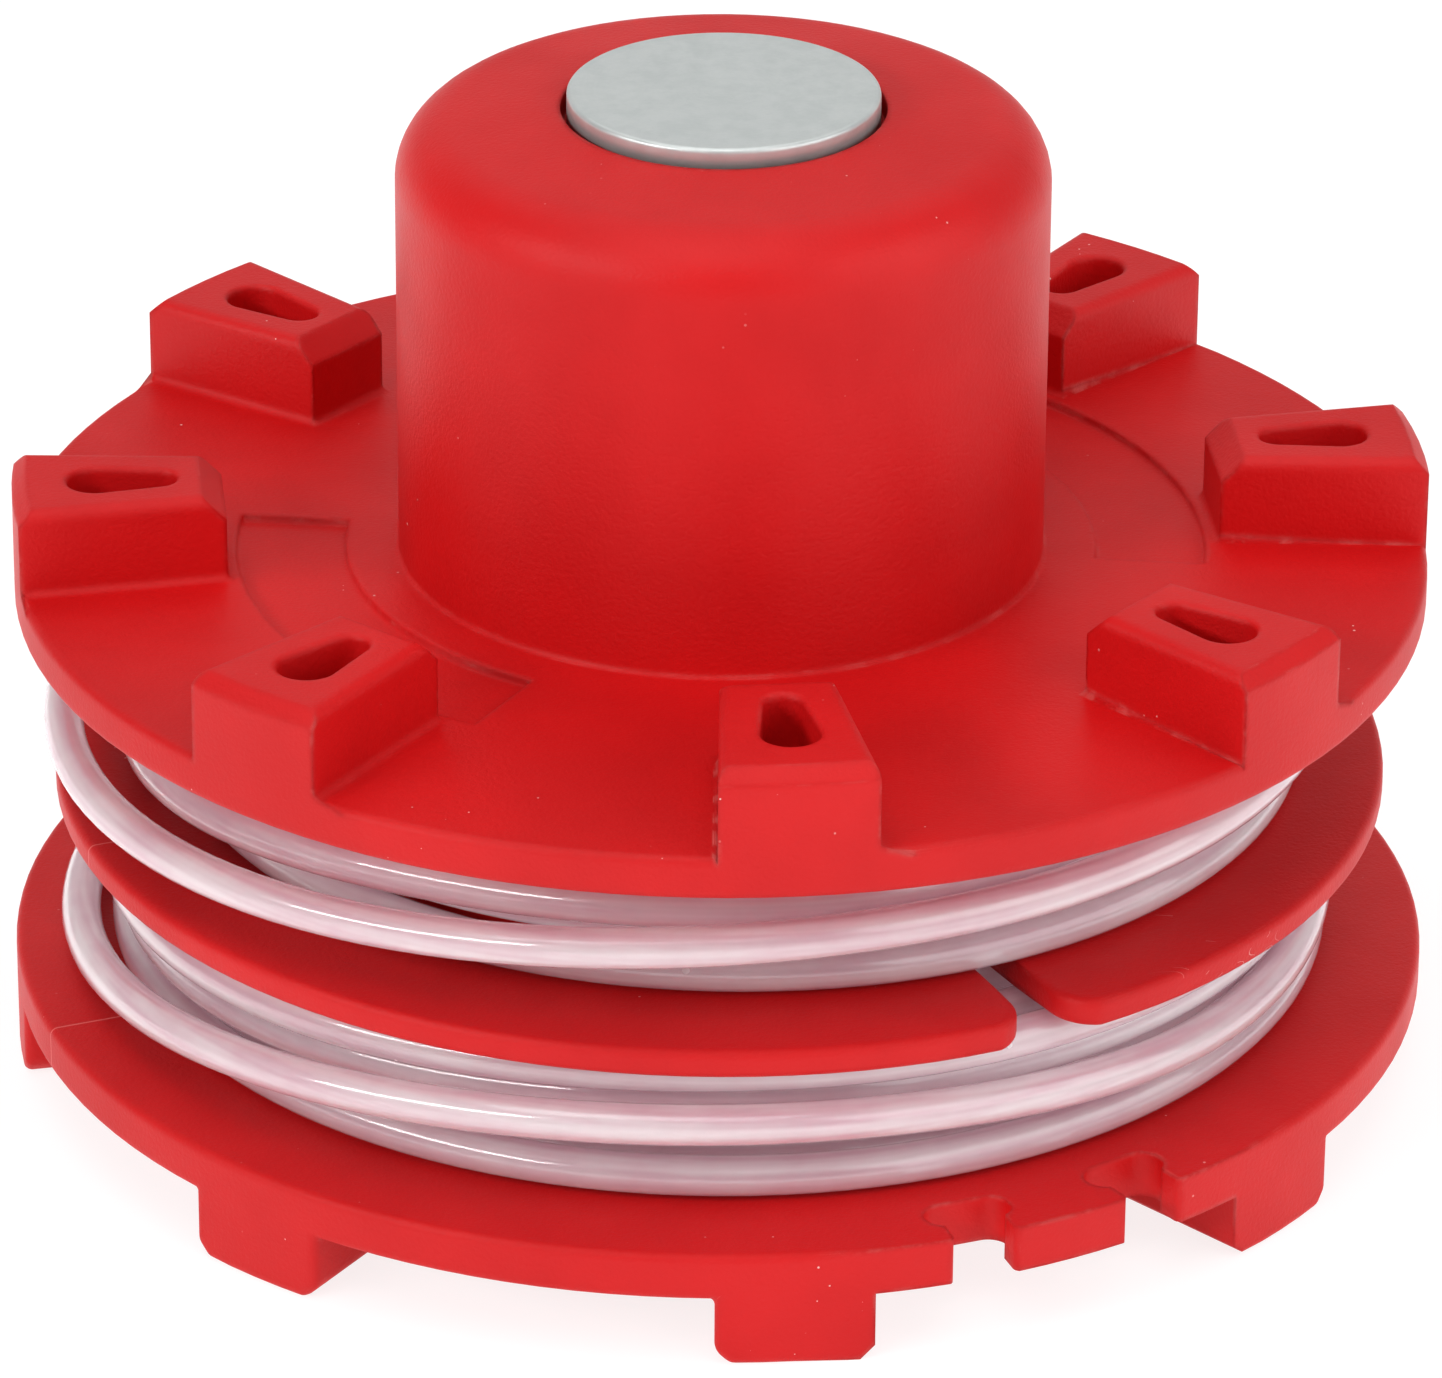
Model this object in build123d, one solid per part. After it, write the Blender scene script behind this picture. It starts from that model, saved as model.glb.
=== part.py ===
from build123d import *
import math
import os
from typing import NamedTuple

# Trimmer line spool: a one-piece moulding with three flanges and a tap knob,
# a steel wear disc let into the knob, and one line folded over the middle flange
# and wound into the two chambers. Millimetres, +Z up, origin under the lug feet.

# Line
LINE_D = 2.5
LINE_CLEAR = 0.15

# Flanges and chambers, from the feet up
FOOT_H = 4.4
LOW_FLANGE_R = 44.6
LOW_FLANGE_T = 3.0
LOW_CHAMBER_H = 10.4
MID_FLANGE_R = 41.8
MID_FLANGE_T = 1.8
UP_CHAMBER_H = 11.2
UP_FLANGE_R = 44.0
UP_FLANGE_T = 2.7
DRUM_R = 29.0
DRUM_WALL = 3.0
WEB_T = 3.0

# Tap knob
KNOB_R = 20.1
KNOB_H = 29.0
KNOB_FILLET = 4.0
KNOB_DROP = 1.0
KNOB_WALL = 3.1
KNOB_TOP_WALL = 8.0

# Wear disc
DISC_R = 9.6
DISC_T = 2.6
DISC_PROUD = 1.1
DISC_EDGE = 0.5
DISC_GAP = 0.4
SHANK_R = 4.0
SHANK_L = 4.5
SHANK_GAP = 0.05

# Lugs
LUG_COUNT = 8
LUG_TURN = 6.1
LUG_HALF_ANGLE = 6.2
LUG_INNER_R = 31.1
LUG_H = 5.6
LUG_CHAMFER = 1.5
LUG_EDGE = 0.8
LUG_BEVEL = 0.9
FOOT_EDGE = 0.9

# Core slots in the upper lugs, wider towards the rim
LUG_SLOT_INNER_R = 33.8
LUG_SLOT_OUTER_R = 40.6
LUG_SLOT_INNER_W = 2.4
LUG_SLOT_OUTER_W = 3.6
LUG_SLOT_FLOOR = 0.4

# Shallow arc recesses in the upper flange
RECESS_INNER_R = 23.4
RECESS_OUTER_R = 30.2
RECESS_START = -96.0
RECESS_SWEEP = 67.0
RECESS_DEPTH = 0.5
RECESS_COUNT = 2

# Slot in the middle flange that the folded line passes through
FOLD_SLOT_ROUND = 3.0
FOLD_SLOT_GAP = 0.1

# Line-holding notches in the lower flange, a pair about the fold slot
NOTCH_SPACING = 15.0
NOTCH_POCKET_W = 5.5
NOTCH_POCKET_DEPTH = 2.6
NOTCH_MOUTH_W = 3.9
NOTCH_LIP = 1.7
NOTCH_ROUND = 0.5

# Windings: packed layers stand as one ring, and the turns over them run in straight stretches.
# A turn's lift is its distance over the layer under it; angles are seen from the front.
LINE_FLATS = 6
TURN_STEPS = 28
BACK = -180.0
CROSS_SWEEP = 65.0
UP_LOW_LIFT = 0.4
UP_LOW_SLACK = 1.1
UP_LOW_BULGE = 105.0
UP_CLIMB_LIFT = 3.6
UP_CLIMB_FRONT = 0.64
UP_LOOSE_LIFT = 4.85
UP_LOOSE_SLACK = 1.75
UP_LOOSE_BULGE = -90.0
UP_LOOSE_START = 1.5
UP_LOOSE_RISE = 3.5
LOW_LAYERS = 3
LOW_NEST = 0.866
LOW_PACKED_SHARE = 0.7
LOW_LOOSE_SLACK = 1.7
LOW_LOOSE_BULGE = -60.0
LOW_LOOSE_RISE = 4.9
LOW_LOOSE_SAG = 2.2
LOW_NEXT_LIFT = -0.33
LOW_NEXT_EXTRA = 0.4
LOW_LAST_LIFT = 0.8

# Heights that follow
LOW_FLANGE_Z = FOOT_H
LOW_CHAMBER_Z = LOW_FLANGE_Z + LOW_FLANGE_T
MID_FLANGE_Z = LOW_CHAMBER_Z + LOW_CHAMBER_H
UP_CHAMBER_Z = MID_FLANGE_Z + MID_FLANGE_T
UP_FLANGE_Z = UP_CHAMBER_Z + UP_CHAMBER_H
UP_FLANGE_TOP = UP_FLANGE_Z + UP_FLANGE_T
LUG_TOP_Z = UP_FLANGE_TOP + LUG_H
WEB_Z = UP_FLANGE_TOP - WEB_T
KNOB_LIP_Z = UP_FLANGE_TOP + KNOB_H
DISC_TOP_Z = KNOB_LIP_Z + DISC_PROUD
DISC_SEAT_Z = DISC_TOP_Z - DISC_T
KNOB_CAVITY_Z = KNOB_LIP_Z - KNOB_TOP_WALL

# Radii and angles that follow
LINE_R = LINE_D / 2
CUP_R = DRUM_R - DRUM_WALL
KNOB_BORE_R = KNOB_R - KNOB_WALL
FIRST_LAYER_R = DRUM_R + LINE_CLEAR + LINE_R
UP_PACKED_R = FIRST_LAYER_R + LINE_R
UP_SECOND_R = FIRST_LAYER_R + LINE_D
LOW_THIRD_R = FIRST_LAYER_R + (LOW_LAYERS - 1) * LOW_NEST * LINE_D
LOW_PACKED_R = LOW_THIRD_R + LOW_PACKED_SHARE * LINE_R
LOW_OUTER_R = LOW_THIRD_R + LINE_D
SEAT_R = DISC_R + DISC_GAP
SHANK_HOLE_R = SHANK_R + SHANK_GAP
SHANK_FLOOR_Z = DISC_SEAT_Z - SHANK_L - SHANK_GAP
LUG_STEP = 360.0 / LUG_COUNT
FOLD_ANGLE = LUG_TURN + LUG_STEP / 2
FOLD_SLOT_W = LINE_D + 2 * FOLD_SLOT_GAP


def facing(angle, shape):
    """Turn a shape built along +X to an angle seen from the front, positive to the right."""
    return Rot(0, 0, angle - 90.0) * shape


def prism(sketch, low, high):
    """Extrude a flat sketch between two heights."""
    return extrude(Pos(0, 0, low) * sketch, high - low)


def moulding_section():
    """Half section of the moulding: knob, web, drum and the three flanges."""
    shoulder = (KNOB_R, KNOB_LIP_Z - KNOB_DROP)
    with BuildSketch(Plane.XZ) as section:
        with BuildLine():
            Polyline(
                (SHANK_HOLE_R, DISC_SEAT_Z),
                (SHANK_HOLE_R, SHANK_FLOOR_Z),
                (0, SHANK_FLOOR_Z),
                (0, KNOB_CAVITY_Z),
                (KNOB_BORE_R, KNOB_CAVITY_Z),
                (KNOB_BORE_R, WEB_Z),
                (CUP_R, WEB_Z),
                (CUP_R, LOW_FLANGE_Z),
                (LOW_FLANGE_R, LOW_FLANGE_Z),
                (LOW_FLANGE_R, LOW_CHAMBER_Z),
                (DRUM_R, LOW_CHAMBER_Z),
                (DRUM_R, MID_FLANGE_Z),
                (MID_FLANGE_R, MID_FLANGE_Z),
                (MID_FLANGE_R, UP_CHAMBER_Z),
                (DRUM_R, UP_CHAMBER_Z),
                (DRUM_R, UP_FLANGE_Z),
                (UP_FLANGE_R, UP_FLANGE_Z),
                (UP_FLANGE_R, UP_FLANGE_TOP),
                (KNOB_R, UP_FLANGE_TOP),
                shoulder,
                (SEAT_R, KNOB_LIP_Z),
                (SEAT_R, DISC_SEAT_Z),
                close=True,
            )
        make_face()
        corner = section.vertices().sort_by_distance(shoulder)[0]
        fillet(corner, KNOB_FILLET)
    return section.sketch


def lug_plan(rim_r):
    """Plan of a lug along +X: radial sides, flat inner end, outer face on the rim."""
    half = math.radians(LUG_HALF_ANGLE)
    inner = (LUG_INNER_R * math.cos(half), LUG_INNER_R * math.sin(half))
    outer = (rim_r * math.cos(half), rim_r * math.sin(half))
    with BuildSketch() as plan:
        with BuildLine():
            Polyline((outer[0], -outer[1]), (inner[0], -inner[1]), inner, outer)
            ThreePointArc(outer, (rim_r, 0), (outer[0], -outer[1]))
        make_face()
    return plan.sketch


def slot_plan():
    """Plan of a lug's core slot: two round ends with straight flanks."""
    inner_end = Pos(LUG_SLOT_INNER_R + LUG_SLOT_INNER_W / 2, 0) * Circle(LUG_SLOT_INNER_W / 2)
    outer_end = Pos(LUG_SLOT_OUTER_R - LUG_SLOT_OUTER_W / 2, 0) * Circle(LUG_SLOT_OUTER_W / 2)
    return make_hull(inner_end.edges() + outer_end.edges())


def upper_lug():
    """Upper lug: sloped inner end, rounded long edges, bevelled rim edge and a blind core slot."""
    lug = prism(lug_plan(UP_FLANGE_R), UP_FLANGE_TOP, LUG_TOP_Z)
    inner_edge = lug.faces().sort_by(Axis.Z)[-1].edges().sort_by(Axis.X)[0]
    lug = chamfer(inner_edge, LUG_CHAMFER)
    top_edges = lug.faces().sort_by(Axis.Z)[-1].edges().sort_by(Axis.Y)
    lug = fillet([top_edges[0], top_edges[-1]], LUG_EDGE)
    return lug - lug_rim_bevel() - prism(slot_plan(), UP_FLANGE_TOP + LUG_SLOT_FLOOR, LUG_TOP_Z)


def lug_rim_bevel():
    """Ring that takes the sharp edge off a lug's top at the rim."""
    with BuildSketch(Plane.XZ) as section:
        with BuildLine():
            Polyline(
                (UP_FLANGE_R - LUG_BEVEL, LUG_TOP_Z),
                (UP_FLANGE_R + LUG_BEVEL, LUG_TOP_Z),
                (UP_FLANGE_R + LUG_BEVEL, LUG_TOP_Z - 2 * LUG_BEVEL),
                close=True,
            )
        make_face()
    return revolve(section.sketch, Axis.Z)


def lower_lug():
    """Lower lug: a plain foot with its two long lower edges bevelled."""
    lug = prism(lug_plan(LOW_FLANGE_R), 0, LOW_FLANGE_Z)
    sole = lug.faces().sort_by(Axis.Z)[0].edges().sort_by(Axis.Y)
    return chamfer([sole[0], sole[-1]], FOOT_EDGE)


def recess_cut():
    """Arc recess in the upper flange's top, built from 0 degrees onwards."""
    ring = Circle(RECESS_OUTER_R) - Circle(RECESS_INNER_R)
    reach = 2 * RECESS_OUTER_R
    sweep = math.radians(RECESS_SWEEP)
    wedge = make_face(Polyline(
        (0, 0),
        (reach, 0),
        (reach * math.cos(sweep / 2), reach * math.sin(sweep / 2)),
        (reach * math.cos(sweep), reach * math.sin(sweep)),
        close=True,
    ))
    return prism(ring & wedge, UP_FLANGE_TOP - RECESS_DEPTH, UP_FLANGE_TOP)


def flared(run, rim_r, width, radius):
    """Add rounded mouth corners to a cut that runs out through a rim along +X."""
    mouth = width / 2 + radius
    flare_r = rim_r - radius
    flare = Pos(rim_r, 0) * Rectangle(2 * radius, 2 * mouth)
    for side in (-1, 1):
        flare -= Pos(flare_r, side * mouth) * Circle(radius)
    return run + flare


def fold_slot_cut():
    """Slot from the drum to the rim of the middle flange, with rounded mouth corners."""
    length = MID_FLANGE_R - FIRST_LAYER_R
    run = Pos(FIRST_LAYER_R + length / 2, 0) * Rectangle(length, FOLD_SLOT_W)
    end = Pos(FIRST_LAYER_R, 0) * Circle(FOLD_SLOT_W / 2)
    plan = flared(run + end, MID_FLANGE_R, FOLD_SLOT_W, FOLD_SLOT_ROUND)
    return prism(plan, MID_FLANGE_Z, UP_CHAMBER_Z)


def notch_cut():
    """Line-holding notch: a round-ended pocket behind a narrower mouth with rounded lips."""
    pocket_r = LOW_FLANGE_R - NOTCH_LIP - NOTCH_POCKET_DEPTH / 2
    pocket = Pos(pocket_r, 0) * SlotOverall(NOTCH_POCKET_W, NOTCH_POCKET_DEPTH, rotation=90)
    run = Pos((pocket_r + LOW_FLANGE_R) / 2, 0) * Rectangle(LOW_FLANGE_R - pocket_r, NOTCH_MOUTH_W)
    plan = flared(run + pocket, LOW_FLANGE_R, NOTCH_MOUTH_W, NOTCH_ROUND)
    return prism(plan, LOW_FLANGE_Z, LOW_CHAMBER_Z)


def spool_body():
    """The moulding: turned section, lugs on both outer flanges, recesses, slot and notches."""
    body = revolve(moulding_section(), Axis.Z)
    for index in range(LUG_COUNT):
        angle = LUG_TURN + index * LUG_STEP
        body += facing(angle, upper_lug())
        body += facing(angle, lower_lug())
    for index in range(RECESS_COUNT):
        body -= facing(RECESS_START + index * 360.0 / RECESS_COUNT, recess_cut())
    body -= facing(FOLD_ANGLE, fold_slot_cut())
    for side in (-0.5, 0.5):
        body -= facing(FOLD_ANGLE + side * NOTCH_SPACING, notch_cut())
    return body


def wear_disc():
    """Steel disc with a broken rim and a short shank pressed into the knob."""
    disc = Pos(0, 0, DISC_SEAT_Z) * extrude(Circle(DISC_R), DISC_T)
    rim = disc.faces().sort_by(Axis.Z)[-1].edges()
    shank = Pos(0, 0, DISC_SEAT_Z - SHANK_L) * extrude(Circle(SHANK_R), SHANK_L)
    return chamfer(rim, DISC_EDGE) + shank


def eased(start, end, value):
    """Share of the way from start to end, with a gentle start and finish."""
    share = min(max((value - start) / (end - start), 0.0), 1.0)
    return share * share * (3.0 - 2.0 * share)


class Turn(NamedTuple):
    """One turn of line, from the back round by the left, the front and the right."""

    radius: float
    height: float
    slack: float = 0.0
    bulge: float = 0.0
    climbs: tuple = ()

    def reach(self, angle):
        """Distance from the axis: the tight radius, opened by the slack towards the bulge."""
        return self.radius + self.slack * (1.0 + math.cos(math.radians(angle - self.bulge)))

    def level(self, angle):
        """Height after each climb, given as a start angle, an end angle and a rise."""
        return self.height + sum(rise * eased(start, end, angle) for start, end, rise in self.climbs)


def turn_section(angle, reach, level):
    """Section of the line at one angle: a few flats stand for its round, one of them outwards."""
    section = Pos(reach, level) * RegularPolygon(LINE_R, LINE_FLATS, rotation=180 / LINE_FLATS)
    return facing(angle, Plane.XZ * section)


def outer_turns(start_r, turns):
    """Turns wound one after the other: the first leaves the packed layers, the rest step over at the back."""
    spread = 1.0 / math.cos(math.pi / TURN_STEPS)
    before = Turn(start_r, turns[0].height)
    start = BACK + CROSS_SWEEP
    sections = []
    for turn in turns:
        angles = [BACK + 360.0 * step / TURN_STEPS for step in range(TURN_STEPS)]
        for angle in [angle for angle in angles if angle >= start]:
            share = eased(start, start + CROSS_SWEEP, angle)
            reach = before.reach(-BACK) * (1.0 - share) + turn.reach(angle) * share
            level = before.level(-BACK) * (1.0 - share) + turn.level(angle) * share
            sections += turn_section(angle, reach * spread, level).faces()
        before = turn
        start = BACK
    return loft(sections, ruled=True, clean=False)


def packed_layers(packed_r, floor, ceiling):
    """The layers packed on the drum, as one ring of straight stretches."""
    outside = RegularPolygon(packed_r, TURN_STEPS, major_radius=False)
    inside = RegularPolygon(DRUM_R + LINE_CLEAR, TURN_STEPS, major_radius=False)
    return prism(outside - inside, floor + LINE_CLEAR, ceiling - LINE_CLEAR)


def row_heights(floor, ceiling):
    """Heights of as many rows of line as a chamber holds, from the lowest."""
    low = floor + LINE_CLEAR + LINE_R
    room = ceiling - LINE_CLEAR - LINE_R - low
    spaces = max(int(room / LINE_D), 1)
    return [low + room * row / spaces for row in range(spaces + 1)]


def upper_winding():
    """Upper half of the line: a packed layer, a second one, a climbing turn and a loose one."""
    rows = row_heights(UP_CHAMBER_Z, UP_FLANGE_Z)
    climb = rows[-1] - rows[0]
    to_front = (-105.0, -15.0, UP_CLIMB_FRONT * climb)
    to_right = (-10.0, 90.0, (1.0 - UP_CLIMB_FRONT) * climb)
    rise = (-85.0, 25.0, UP_LOOSE_RISE)
    turns = [Turn(UP_SECOND_R, row) for row in reversed(rows[1:])]
    turns.append(Turn(UP_SECOND_R + UP_LOW_LIFT, rows[0], UP_LOW_SLACK, UP_LOW_BULGE))
    turns.append(Turn(UP_SECOND_R + UP_CLIMB_LIFT, rows[0], climbs=(to_front, to_right)))
    loose_r = UP_SECOND_R + UP_LOOSE_LIFT
    turns.append(Turn(loose_r, rows[0] + UP_LOOSE_START, UP_LOOSE_SLACK, UP_LOOSE_BULGE, (rise,)))
    return packed_layers(UP_PACKED_R, UP_CHAMBER_Z, UP_FLANGE_Z) + outer_turns(FIRST_LAYER_R, turns)


def lower_winding():
    """Lower half of the line: three packed layers, a low turn, a loose one and those that follow it."""
    rows = row_heights(LOW_CHAMBER_Z, MID_FLANGE_Z)
    pitch = rows[1] - rows[0]
    rise = (-100.0, -5.0, LOW_LOOSE_RISE)
    sag = (5.0, 60.0, -LOW_LOOSE_SAG)
    next_climb = (-80.0, 5.0, pitch + LOW_NEXT_EXTRA)
    last_climb = (-80.0, 5.0, pitch)
    turns = [Turn(LOW_OUTER_R, rows[0])]
    turns.append(Turn(LOW_OUTER_R, rows[0], LOW_LOOSE_SLACK, LOW_LOOSE_BULGE, (rise, sag)))
    turns += [Turn(LOW_OUTER_R + LOW_NEXT_LIFT, row, climbs=(next_climb,)) for row in rows[1:-2]]
    turns.append(Turn(LOW_OUTER_R + LOW_LAST_LIFT, rows[-2], climbs=(last_climb,)))
    return packed_layers(LOW_PACKED_R, LOW_CHAMBER_Z, MID_FLANGE_Z) + outer_turns(LOW_THIRD_R, turns)


def trimmer_line():
    """Both windings and the fold of the line through the middle flange's slot."""
    fold = Pos(FIRST_LAYER_R, 0) * Circle(LINE_R)
    bridge = prism(fold, MID_FLANGE_Z - LINE_D, UP_CHAMBER_Z + LINE_D)
    return upper_winding() + lower_winding() + facing(FOLD_ANGLE, bridge)


def main():
    """Write one STEP file for each piece."""
    os.makedirs("parts", exist_ok=True)
    pieces = {
        "spool_body": spool_body(),
        "wear_disc": wear_disc(),
        "trimmer_line": trimmer_line(),
    }
    for name, shape in pieces.items():
        export_step(shape, f"parts/{name}.step")


if __name__ == "__main__":
    main()
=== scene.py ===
"""Looks of a trimmer line spool: red moulding, steel wear disc and wound nylon line.

Metres, +Z up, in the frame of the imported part. The camera looks along +Y and down on the spool.
"""

import logging
import math
from dataclasses import dataclass, field
from enum import Enum
from typing import Iterable

import bmesh
import bpy
from mathutils import Matrix, Vector


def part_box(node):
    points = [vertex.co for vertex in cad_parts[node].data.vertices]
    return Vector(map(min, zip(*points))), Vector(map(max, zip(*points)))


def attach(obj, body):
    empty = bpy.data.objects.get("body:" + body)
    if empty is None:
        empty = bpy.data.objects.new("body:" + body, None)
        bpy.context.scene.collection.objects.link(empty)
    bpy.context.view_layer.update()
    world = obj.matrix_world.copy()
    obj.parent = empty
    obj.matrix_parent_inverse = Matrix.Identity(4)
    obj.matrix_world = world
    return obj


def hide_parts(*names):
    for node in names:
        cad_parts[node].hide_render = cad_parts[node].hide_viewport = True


LOG = logging.getLogger("trimmer_line_spool")
BODY = "root"
IMAGE_WIDTH = 1442

Triple = tuple[float, float, float]
Socket = bpy.types.NodeSocket
Number = float | Socket

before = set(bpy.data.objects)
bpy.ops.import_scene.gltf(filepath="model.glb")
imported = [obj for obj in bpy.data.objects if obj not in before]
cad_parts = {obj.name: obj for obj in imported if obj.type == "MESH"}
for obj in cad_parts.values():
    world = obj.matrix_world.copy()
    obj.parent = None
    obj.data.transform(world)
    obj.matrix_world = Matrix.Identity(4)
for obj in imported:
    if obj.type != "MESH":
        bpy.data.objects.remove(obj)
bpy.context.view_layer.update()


class Slot(Enum):
    """Material slots of the record."""

    MOULDING = "red_moulding"
    STEEL = "plated_steel"
    LINE = "clear_line"


class NodeSheet:
    """Places and wires the nodes of one tree."""

    def __init__(self, tree: bpy.types.NodeTree) -> None:
        """Start from an empty tree."""
        self.tree = tree
        self.tree.nodes.clear()

    def add(self, kind: str, inputs: dict | None = None, **settings: object) -> bpy.types.Node:
        """Add a node.

        Args:
            kind: the node's type name.
            inputs: values, or output sockets to wire, by socket name or number.
            settings: the node's own properties.

        Returns:
            The new node.
        """
        node = self.tree.nodes.new(kind)
        for name, value in settings.items():
            setattr(node, name, value)
        for name, value in (inputs or {}).items():
            socket = node.inputs[name]
            if isinstance(value, Socket):
                self.tree.links.new(value, socket)
            else:
                socket.default_value = value
        return node

    def math(
        self, operation: str, first: Number, second: Number = 0.0, third: Number = 0.0, clamp: bool = False
    ) -> Socket:
        """One Math node.

        Args:
            operation: the node's operation.
            first: a value or a socket.
            second: a value or a socket.
            third: a value or a socket.
            clamp: whether the result is kept between 0 and 1.

        Returns:
            The result's socket.
        """
        values = {0: first, 1: second, 2: third}
        return self.add("ShaderNodeMath", values, operation=operation, use_clamp=clamp).outputs[0]

    def span(
        self, value: Socket, low: float, high: float, to_low: float = 0.0, to_high: float = 1.0
    ) -> Socket:
        """Map a value smoothly from one range to another.

        Args:
            value: the socket to map.
            low: the value that gives to_low.
            high: the value that gives to_high.
            to_low: result at the low end.
            to_high: result at the high end.

        Returns:
            The result's socket.
        """
        values = {"Value": value, 1: low, 2: high, 3: to_low, 4: to_high}
        return self.add("ShaderNodeMapRange", values, interpolation_type="SMOOTHSTEP").outputs[0]

    def mix(self, amount: Number, first: Triple | Socket, second: Triple | Socket) -> Socket:
        """Mix two colours.

        Args:
            amount: share of the second colour.
            first: a colour or a socket.
            second: a colour or a socket.

        Returns:
            The mixed colour's socket.
        """
        node = self.add("ShaderNodeMix", data_type="RGBA")
        for socket, value in zip((node.inputs[0], node.inputs[6], node.inputs[7]), (amount, first, second)):
            if isinstance(value, Socket):
                self.tree.links.new(value, socket)
            elif isinstance(value, float):
                socket.default_value = value
            else:
                socket.default_value = (*value, 1.0)
        return node.outputs[2]

    def noise(self, vector: Socket, scale: Number, detail: float = 2.0, rough: float = 0.5) -> Socket:
        """Noise on a vector.

        Args:
            vector: the coordinates' socket.
            scale: features to the metre, a value or a socket.
            detail: octaves.
            rough: strength of the finer octaves.

        Returns:
            The noise value's socket.
        """
        values = {"Vector": vector, "Scale": scale, "Detail": detail, "Roughness": rough}
        return self.add("ShaderNodeTexNoise", values).outputs[0]

    def vector(
        self, operation: str, first: Socket, second: Triple | Socket = (0.0, 0.0, 0.0)
    ) -> bpy.types.Node:
        """One Vector Math node."""
        return self.add("ShaderNodeVectorMath", {0: first, 1: second}, operation=operation)

    def from_axis(self, place: Socket) -> Socket:
        """Distance of a point from the spool's axis.

        Args:
            place: the coordinates' socket.

        Returns:
            The distance's socket.
        """
        flat = self.vector("MULTIPLY", place, (1.0, 1.0, 0.0))
        return self.vector("LENGTH", flat.outputs[0]).outputs["Value"]

    def group(self, tree: bpy.types.NodeTree, **inputs: Number) -> bpy.types.Node:
        """Place a shared effect with its own values."""
        node = self.add("ShaderNodeGroup", node_tree=tree)
        for name, value in inputs.items():
            socket = node.inputs[name]
            if isinstance(value, Socket):
                self.tree.links.new(value, socket)
            else:
                socket.default_value = value
        return node


class Effects:
    """Shader node groups that more than one finish uses."""

    def __init__(self) -> None:
        """Build each group once."""
        self.grain = self.build_grain()
        self.specks = self.build_specks()
        self.scratches = self.build_scratches()

    @staticmethod
    def start(
        name: str, values: dict[str, float], outputs: Iterable[str]
    ) -> tuple[NodeSheet, bpy.types.Node, bpy.types.Node]:
        """Open a group with a coordinate input.

        Args:
            name: the group's name.
            values: its number inputs, with their usual values.
            outputs: names of its number outputs.

        Returns:
            The sheet, the group's input node and its output node.
        """
        tree = bpy.data.node_groups.new(name, "ShaderNodeTree")
        tree.interface.new_socket("Place", in_out="INPUT", socket_type="NodeSocketVector")
        for label, value in values.items():
            socket = tree.interface.new_socket(label, in_out="INPUT", socket_type="NodeSocketFloat")
            socket.default_value = value
        for label in outputs:
            tree.interface.new_socket(label, in_out="OUTPUT", socket_type="NodeSocketFloat")
        sheet = NodeSheet(tree)
        return sheet, sheet.add("NodeGroupInput"), sheet.add("NodeGroupOutput")

    def build_grain(self) -> bpy.types.NodeTree:
        """Fine grain with a slow drift: a height and a tone."""
        sheet, given, out = self.start("fine_grain", {"Scale": 4000.0, "Drift": 120.0}, ("Height", "Tone"))
        place = given.outputs["Place"]
        fine = sheet.noise(place, given.outputs["Scale"], 3.0, 0.6)
        slow = sheet.noise(place, given.outputs["Drift"], 3.0, 0.55)
        sheet.tree.links.new(fine, out.inputs["Height"])
        sheet.tree.links.new(slow, out.inputs["Tone"])
        return sheet.tree

    def build_specks(self) -> bpy.types.NodeTree:
        """Scattered small specks: a mask."""
        sheet, given, out = self.start("specks", {"Scale": 400.0, "Size": 0.1, "Share": 0.1}, ("Mask",))
        cells = sheet.add(
            "ShaderNodeTexVoronoi",
            {"Vector": given.outputs["Place"], "Scale": given.outputs["Scale"]},
        )
        chance = sheet.add("ShaderNodeSeparateColor", {0: cells.outputs["Color"]})
        chosen = sheet.math("LESS_THAN", chance.outputs[0], given.outputs["Share"])
        size = sheet.math("MULTIPLY", given.outputs["Size"], chance.outputs[1])
        near = sheet.math("LESS_THAN", cells.outputs["Distance"], size)
        sheet.tree.links.new(sheet.math("MULTIPLY", chosen, near), out.inputs["Mask"])
        return sheet.tree

    def build_scratches(self) -> bpy.types.NodeTree:
        """Thin broken scratches: a mask."""
        sheet, given, out = self.start("scratches", {"Scale": 260.0, "Width": 0.006, "Share": 0.5}, ("Mask",))
        place = given.outputs["Place"]
        path = sheet.noise(place, given.outputs["Scale"], 0.0)
        off = sheet.math("ABSOLUTE", sheet.math("SUBTRACT", path, 0.5))
        thin = sheet.math("LESS_THAN", off, given.outputs["Width"])
        patch = sheet.noise(place, sheet.math("MULTIPLY", given.outputs["Scale"], 0.63), 1.0)
        kept = sheet.math("LESS_THAN", patch, given.outputs["Share"])
        sheet.tree.links.new(sheet.math("MULTIPLY", thin, kept), out.inputs["Mask"])
        return sheet.tree


def new_sheet(name: str) -> tuple[bpy.types.Material, NodeSheet, Socket]:
    """Open a material with Object coordinates.

    Args:
        name: the material's name.

    Returns:
        The material, its sheet and the coordinates' socket.
    """
    material = bpy.data.materials.new(name)
    material.use_nodes = True
    sheet = NodeSheet(material.node_tree)
    place = sheet.add("ShaderNodeTexCoord").outputs["Object"]
    return material, sheet, place


def close_sheet(sheet: NodeSheet, shader: bpy.types.Node) -> None:
    """Wire a shader to the material's surface."""
    sheet.add("ShaderNodeOutputMaterial", {"Surface": shader.outputs[0]})


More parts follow.
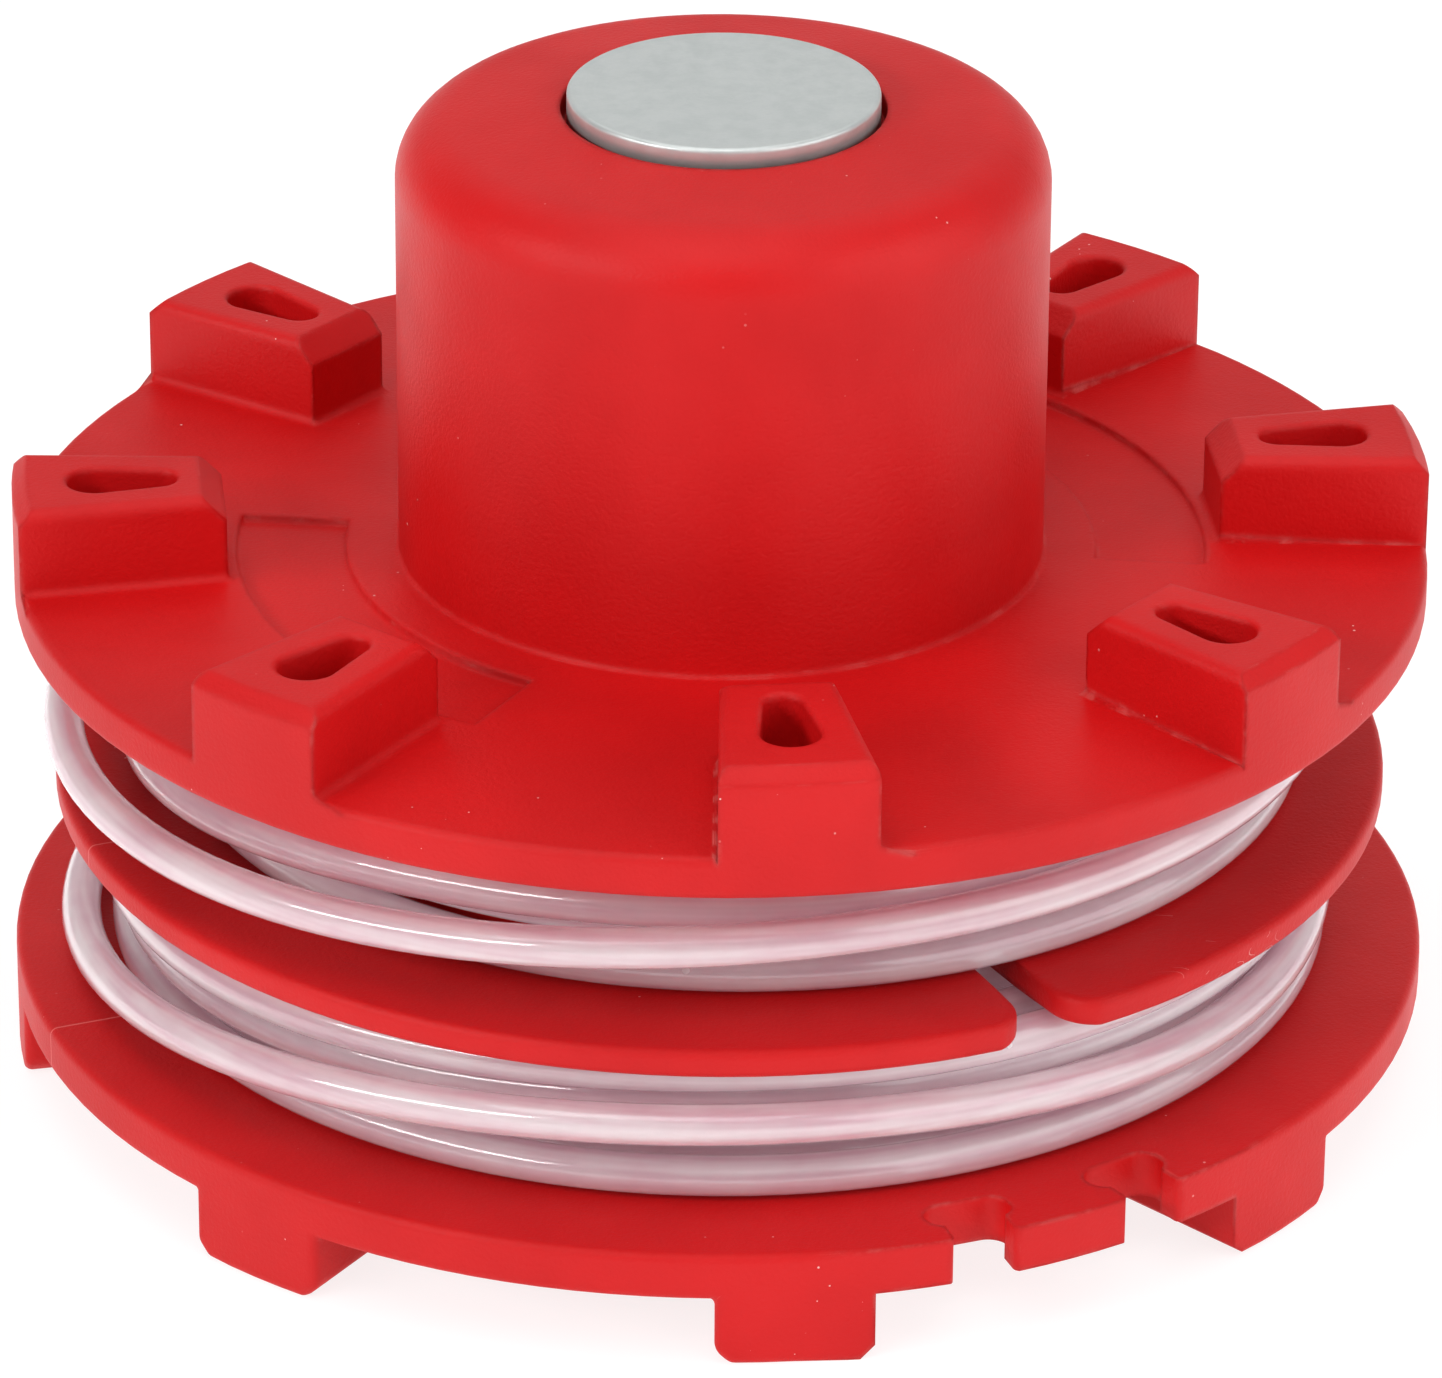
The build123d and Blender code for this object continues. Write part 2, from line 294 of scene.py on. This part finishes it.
@dataclass(frozen=True)
class RedNylon:
    """Matt red moulding: fine mould grain, faint clouding, painted broken highlights along the edges, and
    dust.
    """

    deep: Triple = (0.53, 0.003, 0.004)
    bright: Triple = (0.60, 0.005, 0.006)
    # pale colour of the painted edge highlights; the weld line uses it too
    highlight_and_weld_pale: Triple = (0.92, 0.36, 0.33)
    dust: Triple = (0.90, 0.70, 0.66)
    roughness: float = 0.48
    specular: float = 0.26
    edge_round: float = 0.0006
    grain_scale: float = 3600.0
    grain_depth: float = 0.00007
    scuff_place: Triple = (0.0300, -0.0268, 0.0196)
    scuff_reach: float = 0.0065
    # scale and strength of the painted edge highlights
    highlight_scale: float = 420.0
    highlight_share: float = 0.22
    weld_angle: float = -68.0
    weld_top: float = 0.022
    weld_half: float = 0.00006
    weld_reach: tuple[float, float] = (0.036, 0.039)
    weld_share: float = 0.35

    def material(self, effects: Effects) -> bpy.types.Material:
        """Build the material.

        Args:
            effects: the shared node groups.

        Returns:
            The material.
        """
        material, sheet, place = new_sheet("red_nylon")
        grain = sheet.group(effects.grain, Place=place, Scale=self.grain_scale, Drift=70.0)
        colour = sheet.mix(sheet.span(grain.outputs["Tone"], 0.3, 0.7), self.deep, self.bright)
        rounded = sheet.add("ShaderNodeBevel", {"Radius": self.edge_round}, samples=4).outputs[0]
        # painted highlight: broken pale lines laid along the edges
        colour = sheet.mix(self.painted_edge_highlight(sheet, place, rounded), colour, self.highlight_and_weld_pale)
        colour = sheet.mix(self.scuffs(sheet, effects, place), colour, self.dust)
        colour = sheet.mix(self.weld_line(sheet, place), colour, self.highlight_and_weld_pale)
        specks = sheet.group(effects.specks, Place=place, Scale=1500.0, Size=0.14, Share=0.12)
        gathered = sheet.span(sheet.noise(place, 90.0), 0.52, 0.66, 0.0, 0.7)
        colour = sheet.mix(sheet.math("MULTIPLY", specks.outputs["Mask"], gathered), colour, self.dust)
        gloss = sheet.span(grain.outputs["Tone"], 0.2, 0.8, self.roughness + 0.05, self.roughness - 0.05)
        bump = sheet.add(
            "ShaderNodeBump",
            {
                "Height": grain.outputs["Height"],
                "Strength": 0.6,
                "Distance": self.grain_depth,
                "Normal": rounded,
            },
        )
        shader = sheet.add(
            "ShaderNodeBsdfPrincipled",
            {
                "Base Color": colour,
                "Roughness": gloss,
                "Normal": bump.outputs[0],
                "IOR": 1.5,
                "Specular IOR Level": self.specular,
            },
        )
        close_sheet(sheet, shader)
        return material

    def painted_edge_highlight(
        self, sheet: NodeSheet, place: Socket, rounded: Socket
    ) -> Socket:
        """Broken painted highlight along the edges, where the rounded normal leaves the face's own.

        Args:
            sheet: the material's sheet.
            place: the coordinates' socket.
            rounded: the rounded normal's socket.

        Returns:
            The painted highlight's mask.
        """
        flat = sheet.add("ShaderNodeNewGeometry").outputs["True Normal"]
        match = sheet.vector("DOT_PRODUCT", rounded, flat).outputs["Value"]
        edge = sheet.span(match, 0.92, 0.78, 0.0, self.highlight_share)
        broken = sheet.span(sheet.noise(place, self.highlight_scale, 4.0, 0.65), 0.46, 0.62)
        return sheet.math("MULTIPLY", edge, broken)

    def scuffs(self, sheet: NodeSheet, effects: Effects, place: Socket) -> Socket:
        """Pale scuffs where the line was cut off on the middle flange.

        Args:
            sheet: the material's sheet.
            effects: the shared node groups.
            place: the coordinates' socket.

        Returns:
            The scuffs' mask.
        """
        away = sheet.vector("DISTANCE", place, self.scuff_place)
        near = sheet.span(away.outputs["Value"], self.scuff_reach, 0.3 * self.scuff_reach)
        drawn = sheet.vector("MULTIPLY", place, (0.2, 1.0, 1.0))
        marks = sheet.group(effects.scratches, Place=drawn.outputs[0], Scale=900.0, Width=0.010, Share=0.42)
        return sheet.math("MULTIPLY", sheet.math("MULTIPLY", marks.outputs["Mask"], near), 0.4)

    def weld_line(self, sheet: NodeSheet, place: Socket) -> Socket:
        """Fine pale line across the flanges where the melt met in the mould.

        Args:
            sheet: the material's sheet.
            place: the coordinates' socket.

        Returns:
            The line's mask.
        """
        angle = math.radians(self.weld_angle)
        across = (math.cos(angle), math.sin(angle), 0.0)
        along = (math.sin(angle), -math.cos(angle), 0.0)
        off = sheet.vector("DOT_PRODUCT", place, across).outputs["Value"]
        out = sheet.vector("DOT_PRODUCT", place, along).outputs["Value"]
        height = sheet.add("ShaderNodeSeparateXYZ", {0: place}).outputs["Z"]
        thin = sheet.math("LESS_THAN", sheet.math("ABSOLUTE", off), self.weld_half)
        low = sheet.math("MULTIPLY", thin, sheet.math("LESS_THAN", height, self.weld_top))
        return sheet.math("MULTIPLY", low, sheet.span(out, *self.weld_reach, 0.0, self.weld_share))


@dataclass(frozen=True)
class PlatedSteel:
    """Zinc plated steel: faint turning rings, clouding and fine scratches."""

    light: Triple = (0.62, 0.65, 0.64)
    dull: Triple = (0.565, 0.60, 0.59)
    metallic: float = 0.5
    roughness: float = 0.38
    ring_pitch: float = 0.00035

    def material(self, effects: Effects) -> bpy.types.Material:
        """Build the material.

        Args:
            effects: the shared node groups.

        Returns:
            The material.
        """
        material, sheet, place = new_sheet("plated_steel")
        grain = sheet.group(effects.grain, Place=place, Scale=2600.0, Drift=700.0)
        colour = sheet.mix(sheet.span(grain.outputs["Tone"], 0.3, 0.7), self.dull, self.light)
        scratches = sheet.group(effects.scratches, Place=place, Scale=300.0, Width=0.004, Share=0.42)
        reach = sheet.from_axis(place)
        rings = sheet.math("SINE", sheet.math("MULTIPLY", reach, 2 * math.pi / self.ring_pitch))
        height = sheet.math("MULTIPLY_ADD", grain.outputs["Height"], 0.8, sheet.math("MULTIPLY", rings, 0.25))
        height = sheet.math("SUBTRACT", height, scratches.outputs["Mask"])
        gloss = sheet.span(grain.outputs["Height"], 0.2, 0.8, self.roughness - 0.08, self.roughness + 0.1)
        bump = sheet.add("ShaderNodeBump", {"Height": height, "Strength": 0.25, "Distance": 0.00002})
        shader = sheet.add(
            "ShaderNodeBsdfPrincipled",
            {"Base Color": colour, "Metallic": self.metallic, "Roughness": gloss, "Normal": bump.outputs[0]},
        )
        close_sheet(sheet, shader)
        return material


@dataclass(frozen=True)
class ClearNylon:
    """Translucent extruded nylon: milky, glossy, nicked, pink from painted red bounce light, with a faint
    painted glow in place of light passing through it.
    """

    # the pink in both colours is painted red light bounced from the moulding onto the whitish line
    milky: Triple = (0.88, 0.76, 0.79)
    clear: Triple = (0.69, 0.47, 0.53)
    nick: Triple = (0.97, 0.95, 0.95)
    roughness: float = 0.22
    transmission: float = 0.3
    scatter: float = 1.0
    scatter_scale: float = 0.004
    coat: float = 0.8
    coat_roughness: float = 0.05
    # strength of the painted glow: the line gives off faint pink light of its own
    painted_glow: float = 0.06
    streak_scale: float = 900.0
    streak_share: float = 0.7

    def material(self, effects: Effects) -> bpy.types.Material:
        """Build the material.

        Args:
            effects: the shared node groups.

        Returns:
            The material.
        """
        material, sheet, place = new_sheet("clear_nylon")
        grain = sheet.group(effects.grain, Place=place, Scale=900.0, Drift=160.0)
        clouds = sheet.math("MULTIPLY", grain.outputs["Tone"], 1.0 - self.streak_share)
        streaks = sheet.math("MULTIPLY", self.streaks(sheet, place), self.streak_share)
        tone = sheet.math("ADD", streaks, clouds)
        colour = sheet.mix(sheet.span(tone, 0.33, 0.66), self.clear, self.milky)
        nicks = sheet.group(effects.specks, Place=place, Scale=520.0, Size=0.16, Share=0.02)
        colour = sheet.mix(sheet.math("MULTIPLY", nicks.outputs["Mask"], 0.6), colour, self.nick)
        gloss = sheet.math("MULTIPLY_ADD", nicks.outputs["Mask"], 0.3, self.roughness)
        bump = sheet.add(
            "ShaderNodeBump",
            {"Height": grain.outputs["Height"], "Strength": 0.12, "Distance": 0.00003},
        )
        shader = sheet.add(
            "ShaderNodeBsdfPrincipled",
            {
                "Base Color": colour,
                "Roughness": gloss,
                "Normal": bump.outputs[0],
                "IOR": 1.5,
                "Transmission Weight": self.transmission,
                "Subsurface Weight": self.scatter,
                "Subsurface Radius": (1.0, 0.9, 0.92),
                "Subsurface Scale": self.scatter_scale,
                "Coat Weight": self.coat,
                "Coat Roughness": self.coat_roughness,
                # painted glow: faint pink light from the line itself, standing in for light passing through
                # it
                "Emission Color": (*self.clear, 1.0),
                "Emission Strength": self.painted_glow,
            },
        )
        close_sheet(sheet, shader)
        return material

    def streaks(self, sheet: NodeSheet, place: Socket) -> Socket:
        """Milky streaks that run along the turns.

        Args:
            sheet: the material's sheet.
            place: the coordinates' socket.

        Returns:
            The streaks' value.
        """
        reach = sheet.from_axis(place)
        height = sheet.add("ShaderNodeSeparateXYZ", {0: place}).outputs["Z"]
        drift = sheet.math("MULTIPLY", sheet.noise(place, 45.0), 0.002)
        lay = sheet.add("ShaderNodeCombineXYZ", {0: reach, 1: height, 2: drift}).outputs[0]
        return sheet.noise(lay, self.streak_scale, 2.0, 0.55)


@dataclass(frozen=True)
class PaleCard:
    """White card: to the camera mostly its own white, with the object's shadow kept."""

    name: str
    white: float
    shade: float
    bounce: float
    glow: float

    def material(self) -> bpy.types.Material:
        """Build the material.

        Returns:
            The material.
        """
        material, sheet, place = new_sheet(self.name)
        seen = sheet.add("ShaderNodeLightPath").outputs["Is Camera Ray"]
        tone = sheet.mix(sheet.noise(place, 30.0), (0.98, 0.98, 0.98), (1.0, 1.0, 1.0))
        share = sheet.span(seen, 0.0, 1.0, self.bounce, self.shade)
        grey = sheet.mix(share, (0.0, 0.0, 0.0), (1.0, 1.0, 1.0))
        matt = sheet.add("ShaderNodeBsdfDiffuse", {"Color": grey})
        strength = sheet.span(seen, 0.0, 1.0, self.glow, self.white)
        glow = sheet.add("ShaderNodeEmission", {"Color": tone, "Strength": strength})
        both = sheet.add("ShaderNodeAddShader", {0: matt.outputs[0], 1: glow.outputs[0]})
        close_sheet(sheet, both)
        return material


def finish_piece(
    bm: bmesh.types.BMesh, name: str, material: bpy.types.Material
) -> bpy.types.Object:
    """Turn a bmesh into a smooth shaded piece that rides on the spool.

    Args:
        bm: the shape, freed here.
        name: the piece's name.
        material: its finish.

    Returns:
        The piece.
    """
    mesh = bpy.data.meshes.new(name)
    for face in bm.faces:
        face.smooth = True
    bm.to_mesh(mesh)
    bm.free()
    if "custom_normal" in mesh.attributes:
        mesh.attributes.remove(mesh.attributes["custom_normal"])
    mesh.materials.clear()
    mesh.materials.append(material)
    piece = bpy.data.objects.new(name, mesh)
    bpy.context.scene.collection.objects.link(piece)
    weighted = piece.modifiers.new("even_normals", "WEIGHTED_NORMAL")
    weighted.mode = "FACE_AREA"
    weighted.weight = 60
    weighted.keep_sharp = True
    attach(piece, BODY)
    LOG.info("%s: %d faces", name, len(mesh.polygons))
    return piece


@dataclass
class SpoolMoulding:
    """The red moulding: a merged copy of its solid, rounded at the edges that have room for it.

    The shading rounds the others: the lugs' corners and the notches' lips.
    """

    node: str = "spool_body"
    merge: float = 2e-6
    flat_angle: float = math.radians(0.5)
    sharp_angle: float = math.radians(32.0)
    ease: float = 0.00045
    lip_ease: float = 0.00030
    fine_ease: float = 0.00018
    recess_floor: float = 0.0325
    recess_top: float = 0.0345
    recess_radius: float = 0.0306
    lug_foot: float = 0.0336
    lug_top: float = 0.0390
    slot_reach: tuple[float, float] = (0.0330, 0.0420)
    seam_radius: float = 0.0445
    seam_width: float = 0.0002
    notch_top: float = 0.0080
    notch_angles: tuple[float, float] = (10.0, 45.0)
    segments: int = 4

    def build(self, material: bpy.types.Material) -> bpy.types.Object:
        """Copy the solid, merge it, ease its edges and dress it.

        Args:
            material: the moulding's finish.

        Returns:
            The piece.
        """
        bm = bmesh.new()
        bm.from_mesh(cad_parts[self.node].data)
        bmesh.ops.remove_doubles(bm, verts=bm.verts[:], dist=self.merge)
        bmesh.ops.dissolve_limit(
            bm,
            angle_limit=self.flat_angle,
            use_dissolve_boundaries=False,
            verts=bm.verts[:],
            edges=bm.edges[:],
            delimit=set(),
        )
        seam = [edge for edge in bm.edges if self.is_seam(edge)]
        bmesh.ops.dissolve_edges(bm, edges=seam, use_verts=False, use_face_split=False)
        self.ease_edges(bm)
        piece = finish_piece(bm, "moulding", material)
        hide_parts(self.node)
        return piece

    def ease_edges(self, bm: bmesh.types.BMesh) -> None:
        """Round the sharp edges that have room for it, and keep the shading crisp at the rest.

        Args:
            bm: the merged copy.
        """
        rounds = (
            (self.is_roomy, self.ease),
            (self.is_slot_lip, self.lip_ease),
            (self.is_shallow, self.fine_ease),
        )
        for chosen, ease in rounds:
            bmesh.ops.bevel(
                bm,
                geom=[edge for edge in bm.edges if self.is_sharp(edge) and chosen(edge)],
                offset=ease,
                offset_type="OFFSET",
                segments=self.segments,
                profile=0.5,
                affect="EDGES",
                clamp_overlap=False,
                material=-1,
            )
        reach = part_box(self.node)[1].x
        for vert in bm.verts:
            vert.co.xy *= min(1.0, reach / max(vert.co.xy.length, reach))
        for edge in bm.edges:
            edge.smooth = not self.is_sharp(edge)

    def is_sharp(self, edge: bmesh.types.BMEdge) -> bool:
        """Whether the faces at an edge meet at a clear angle."""
        return edge.is_manifold and edge.calc_face_angle() > self.sharp_angle

    def is_seam(self, edge: bmesh.types.BMEdge) -> bool:
        """Whether an edge is the lower rim's closing seam, which crowds the foot beside it."""
        return not self.is_sharp(edge) and all(
            vert.co.x > self.seam_radius and abs(vert.co.y) < self.seam_width for vert in edge.verts
        )

    def is_shallow(self, edge: bmesh.types.BMEdge) -> bool:
        """Whether an edge lies at the foot of the knob or at a shallow recess round it."""
        return all(
            self.recess_floor < vert.co.z < self.recess_top and vert.co.xy.length < self.recess_radius
            for vert in edge.verts
        )

    def is_roomy(self, edge: bmesh.types.BMEdge) -> bool:
        """Whether an edge lies on a flange or a foot, clear of the notches."""
        return all(
            vert.co.z < self.lug_foot
            and vert.co.xy.length > self.recess_radius
            and not self.at_notch(vert.co)
            for vert in edge.verts
        )

    def is_slot_lip(self, edge: bmesh.types.BMEdge) -> bool:
        """Whether an edge is part of the lip of a lug's slot."""
        low, high = self.slot_reach
        return all(vert.co.z > self.lug_top and low < vert.co.xy.length < high for vert in edge.verts)

    def at_notch(self, place: Vector) -> bool:
        """Whether a point lies at the lower flange's notches."""
        angle = math.degrees(math.atan2(place.x, -place.y))
        return place.z < self.notch_top and self.notch_angles[0] < angle < self.notch_angles[1]


@dataclass
class WearDisc:
    """The steel disc with its shank, turned from one profile."""

    node: str = "wear_disc"
    thickness: float = 0.0026
    shank_radius: float = 0.004
    edge: float = 0.0003
    segments: int = 4
    steps: int = 128

    def build(self, material: bpy.types.Material) -> bpy.types.Object:
        """Spin the profile, round the rim and dress the disc.

        Args:
            material: the disc's finish.

        Returns:
            The piece.
        """
        low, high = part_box(self.node)
        seat = high.z - self.thickness
        profile = (
            (0.0, high.z),
            (high.x, high.z),
            (high.x, seat),
            (self.shank_radius, seat),
            (self.shank_radius, low.z),
            (0.0, low.z),
        )
        bm = bmesh.new()
        corners = [bm.verts.new((radius, 0.0, height)) for radius, height in profile]
        edges = [bm.edges.new(pair) for pair in zip(corners, corners[1:])]
        bmesh.ops.spin(
            bm,
            geom=corners + edges,
            axis=(0.0, 0.0, 1.0),
            cent=(0.0, 0.0, 0.0),
            angle=2 * math.pi,
            steps=self.steps,
            use_merge=True,
        )
        bmesh.ops.remove_doubles(bm, verts=bm.verts[:], dist=1e-6)
        bmesh.ops.recalc_face_normals(bm, faces=bm.faces[:])
        rim = [edge for edge in bm.edges if all(self.on_rim(vert.co, high) for vert in edge.verts)]
        bmesh.ops.bevel(
            bm,
            geom=rim,
            offset=self.edge,
            offset_type="OFFSET",
            segments=self.segments,
            profile=0.5,
            affect="EDGES",
            clamp_overlap=True,
            material=-1,
        )
        piece = finish_piece(bm, "disc", material)
        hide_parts(self.node)
        return piece

    @staticmethod
    def on_rim(place: Vector, high: Vector) -> bool:
        """Whether a point lies on the disc's upper rim."""
        return abs(place.z - high.z) < 1e-6 and place.xy.length > high.x - 1e-5


@dataclass(frozen=True)
class Turn:
    """One turn of the line, from the back round by the left, the front and the right.

    The radius is that of its tight side; slack opens it towards the bulge's angle. Each climb is an
    angle where it starts, one where it ends, and a rise. Angles are in degrees from the front,
    positive to the right.
    """

    radius: float
    height: float
    slack: float = 0.0
    bulge: float = 0.0
    climbs: tuple[Triple, ...] = ()

    def reach(self, angle: float) -> float:
        """Distance from the axis at an angle."""
        return self.radius + self.slack * (1.0 + math.cos(math.radians(angle - self.bulge)))

    def level(self, angle: float) -> float:
        """Height at an angle."""
        return self.height + sum(rise * smooth(start, end, angle) for start, end, rise in self.climbs)


def smooth(low: float, high: float, value: float) -> float:
    """Ease from 0 at low to 1 at high."""
    share = min(max((value - low) / (high - low), 0.0), 1.0)
    return share * share * (3.0 - 2.0 * share)


@dataclass
class WoundLine:
    """The nylon line: folded through the middle flange and wound into both chambers."""

    node: str = "trimmer_line"
    diameter: float = 0.0025
    drum_radius: float = 0.0304
    upper_pitch: float = 0.0028
    lower_pitch: float = 0.002533
    nest_share: float = 0.866
    steps: int = 24
    section_steps: int = 6
    span_steps: int = 5
    cross_from: float = -180.0
    cross_to: float = -115.0
    fold_angle: float = 28.6
    upper: list[Turn] = field(default_factory=list)
    lower: list[Turn] = field(default_factory=list)

    def __post_init__(self) -> None:
        """Lay out the turns of both chambers."""
        low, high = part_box(self.node)
        half = self.diameter / 2
        self.lay_upper(high.z - half)
        self.lay_lower(low.z + half)

    def lay_upper(self, top: float) -> None:
        """Lay out the upper chamber: a full layer, most of a second and three looser turns.

        Args:
            top: height of a turn's centre against the upper flange.
        """
        rows = [top - self.upper_pitch * row for row in (3, 2, 1, 0)]
        second = self.drum_radius + self.diameter
        self.upper += [Turn(self.drum_radius, row) for row in rows]
        self.upper += [Turn(second, row) for row in reversed(rows[1:])]
        self.upper += [
            Turn(second + 0.0004, rows[0], 0.0011, 105.0),
            Turn(second + 0.0036, rows[0], climbs=((-105.0, -15.0, 0.00538), (-10.0, 90.0, 0.00302))),
            Turn(second + 0.00485, rows[0] + 0.0015, 0.00175, -90.0, ((-85.0, 25.0, 0.0035),)),
        ]

    def lay_lower(self, bottom: float) -> None:
        """Lay out the lower chamber: three nested layers and four looser turns that climb at the front.

        Args:
            bottom: height of a turn's centre on the lower flange.
        """
        pitch = self.lower_pitch
        rows = [bottom + pitch * row for row in (3, 2, 1, 0)]
        nest = self.nest_share * self.diameter
        third = self.drum_radius + 2 * nest
        outer = third + self.diameter
        self.lower += [Turn(self.drum_radius, row) for row in rows]
        self.lower += [Turn(self.drum_radius + nest, row + pitch / 2) for row in reversed(rows[1:])]
        self.lower += [Turn(third, row) for row in rows]
        self.lower += [
            Turn(outer, rows[3]),
            Turn(outer, rows[3], 0.0017, -60.0, ((-100.0, -5.0, 0.0049), (5.0, 60.0, -0.0022))),
            Turn(outer - 0.00033, rows[2], climbs=((-80.0, 5.0, pitch + 0.0004),)),
            Turn(outer + 0.0008, rows[1], climbs=((-80.0, 5.0, pitch),)),
        ]

    def winding(self, turns: list[Turn]) -> list[Vector]:
        """Points of one chamber's line, from the fold outwards.

        Args:
            turns: the chamber's turns, from the drum outwards.

        Returns:
            The spline's control points.
        """
        spread = 1.0 / math.cos(math.pi / self.steps)
        points = []
        for index, turn in enumerate(turns):
            before = turns[index - 1] if index else turn
            for step in range(self.steps):
                angle = -180.0 + 360.0 * step / self.steps
                if not index and angle < self.fold_angle:
                    continue
                share = smooth(self.cross_from, self.cross_to, angle)
                reach = before.reach(180.0) * (1.0 - share) + turn.reach(angle) * share
                level = before.level(180.0) * (1.0 - share) + turn.level(angle) * share
                points.append(self.place(angle, reach * spread, level))
        return points

    @staticmethod
    def place(angle: float, reach: float, level: float) -> Vector:
        """Point at an angle from the front, a distance from the axis and a height."""
        turn = math.radians(angle)
        return Vector((reach * math.sin(turn), -reach * math.cos(turn), level))

    def build(self, material: bpy.types.Material) -> bpy.types.Object:
        """Run one spline through both windings and the fold between them.

        Args:
            material: the line's finish.

        Returns:
            The piece.
        """
        upper = self.winding(self.upper)
        lower = self.winding(self.lower)
        ends = [self.place(self.fold_angle, self.drum_radius, points[0].z) for points in (upper, lower)]
        middle = (ends[0] + ends[1]) / 2
        points = upper[::-1] + [ends[0], middle, ends[1]] + lower
        curve = bpy.data.curves.new("line", "CURVE")
        curve.dimensions = "3D"
        curve.bevel_depth = self.diameter / 2
        curve.bevel_resolution = self.section_steps
        curve.resolution_u = self.span_steps
        curve.use_fill_caps = True
        spline = curve.splines.new("NURBS")
        spline.points.add(len(points) - 1)
        for point, place in zip(spline.points, points):
            point.co = (*place, 1.0)
        spline.order_u = 3
        spline.use_endpoint_u = True
        spline.use_smooth = True
        curve.materials.append(material)
        piece = bpy.data.objects.new("line", curve)
        bpy.context.scene.collection.objects.link(piece)
        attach(piece, BODY)
        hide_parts(self.node)
        length = sum((b - a).length for a, b in zip(points, points[1:]))
        LOG.info("line: %d points, about %.2f m", len(points), length)
        return piece


@dataclass(frozen=True)
class Softbox:
    """A soft lamp that faces a point on the spool."""

    name: str
    place: Triple
    width: float
    height: float
    power: float
    aim: Triple = (0.0, 0.0, 0.03)

    def build(self) -> bpy.types.Object:
        """Hang the lamp.

        Returns:
            The lamp.
        """
        lamp = bpy.data.lights.new(self.name, "AREA")
        lamp.shape = "RECTANGLE"
        lamp.size = self.width
        lamp.size_y = self.height
        lamp.energy = self.power
        holder = bpy.data.objects.new(self.name, lamp)
        bpy.context.scene.collection.objects.link(holder)
        holder.location = self.place
        holder.rotation_euler = (Vector(self.aim) - Vector(self.place)).to_track_quat("-Z", "Y").to_euler()
        return holder


@dataclass
class Studio:
    """Floor, soft light and the camera at the photograph's viewing angle."""

    camera_place: Triple = (-0.00016, -0.48738, 0.26074)
    tilt: float = 0.45383
    pan: float = 0.00048
    roll: float = 0.0070
    focal_pixels: float = 8617.5
    sensor: float = 36.0
    nearest: float = 0.01
    floor_size: float = 1.6
    backdrop_distance: float = 1.0
    world: float = 0.12
    lamps: tuple[Softbox, ...] = (
        Softbox("key", (-0.75, -0.55, 0.50), width=0.8, height=0.12, power=5.3),
        Softbox("fill", (0.85, -0.45, 0.50), width=1.3, height=0.8, power=6.7),
        Softbox("top", (-0.1, -0.36, 1.05), width=0.9, height=0.9, power=5.6),
        Softbox("back", (0.0, 0.45, 0.95), width=1.2, height=0.5, power=2.3),
    )

    def build(self) -> None:
        """Set up the cards, the lamps, the world and the camera."""
        self.lay_cards()
        for lamp in self.lamps:
            lamp.build()
        self.light_world()
        self.place_camera()

    def lay_cards(self) -> None:
        """Lay the floor under the spool and stand the backdrop behind it."""
        behind = Matrix.Translation((0.0, self.backdrop_distance, 0.0))
        upright = behind @ Matrix.Rotation(math.pi / 2, 4, "X")
        self.lay_card(PaleCard("floor", white=0.84, shade=0.24, bounce=0.85, glow=0.45), Matrix.Identity(4))
        self.lay_card(PaleCard("backdrop", white=1.0, shade=0.0, bounce=0.3, glow=0.25), upright)

    def lay_card(self, card: PaleCard, turned: Matrix) -> None:
        """Place one card.

        Args:
            card: its finish.
            turned: how it lies.
        """
        bm = bmesh.new()
        bmesh.ops.create_grid(bm, x_segments=1, y_segments=1, size=self.floor_size, matrix=turned)
        mesh = bpy.data.meshes.new(card.name)
        bm.to_mesh(mesh)
        bm.free()
        mesh.materials.append(card.material())
        piece = bpy.data.objects.new(card.name, mesh)
        bpy.context.scene.collection.objects.link(piece)

    def light_world(self) -> None:
        """Give the room a plain even light."""
        world = bpy.data.worlds.new("room")
        world.use_nodes = True
        sheet = NodeSheet(world.node_tree)
        back = sheet.add("ShaderNodeBackground", {"Color": (1.0, 1.0, 1.0, 1.0), "Strength": self.world})
        sheet.add("ShaderNodeOutputWorld", {"Surface": back.outputs[0]})
        bpy.context.scene.world = world

    def place_camera(self) -> None:
        """Place the camera: tilted down at the spool, with a trace of pan and roll."""
        ahead = Vector((
            math.sin(self.pan) * math.cos(self.tilt),
            math.cos(self.pan) * math.cos(self.tilt),
            -math.sin(self.tilt),
        ))
        right = Vector((math.cos(self.pan), -math.sin(self.pan), 0.0))
        up = right.cross(ahead)
        level_right = right * math.cos(self.roll) + up * math.sin(self.roll)
        level_up = up * math.cos(self.roll) - right * math.sin(self.roll)
        turned = Matrix((level_right, level_up, -ahead)).transposed().to_4x4()
        lens = bpy.data.cameras.new("camera")
        lens.sensor_fit = "HORIZONTAL"
        lens.sensor_width = self.sensor
        lens.lens = self.focal_pixels * self.sensor / IMAGE_WIDTH
        lens.clip_start = self.nearest
        camera = bpy.data.objects.new("camera", lens)
        bpy.context.scene.collection.objects.link(camera)
        camera.matrix_world = Matrix.Translation(self.camera_place) @ turned
        bpy.context.scene.camera = camera


def main() -> None:
    """Build the spool's pieces and the studio."""
    logging.basicConfig(level=logging.INFO)
    bpy.context.scene.view_settings.view_transform = "Standard"
    effects = Effects()
    SpoolMoulding().build(RedNylon().material(effects))
    WearDisc().build(PlatedSteel().material(effects))
    WoundLine().build(ClearNylon().material(effects))
    Studio().build()


if __name__ == "__main__":
    main()
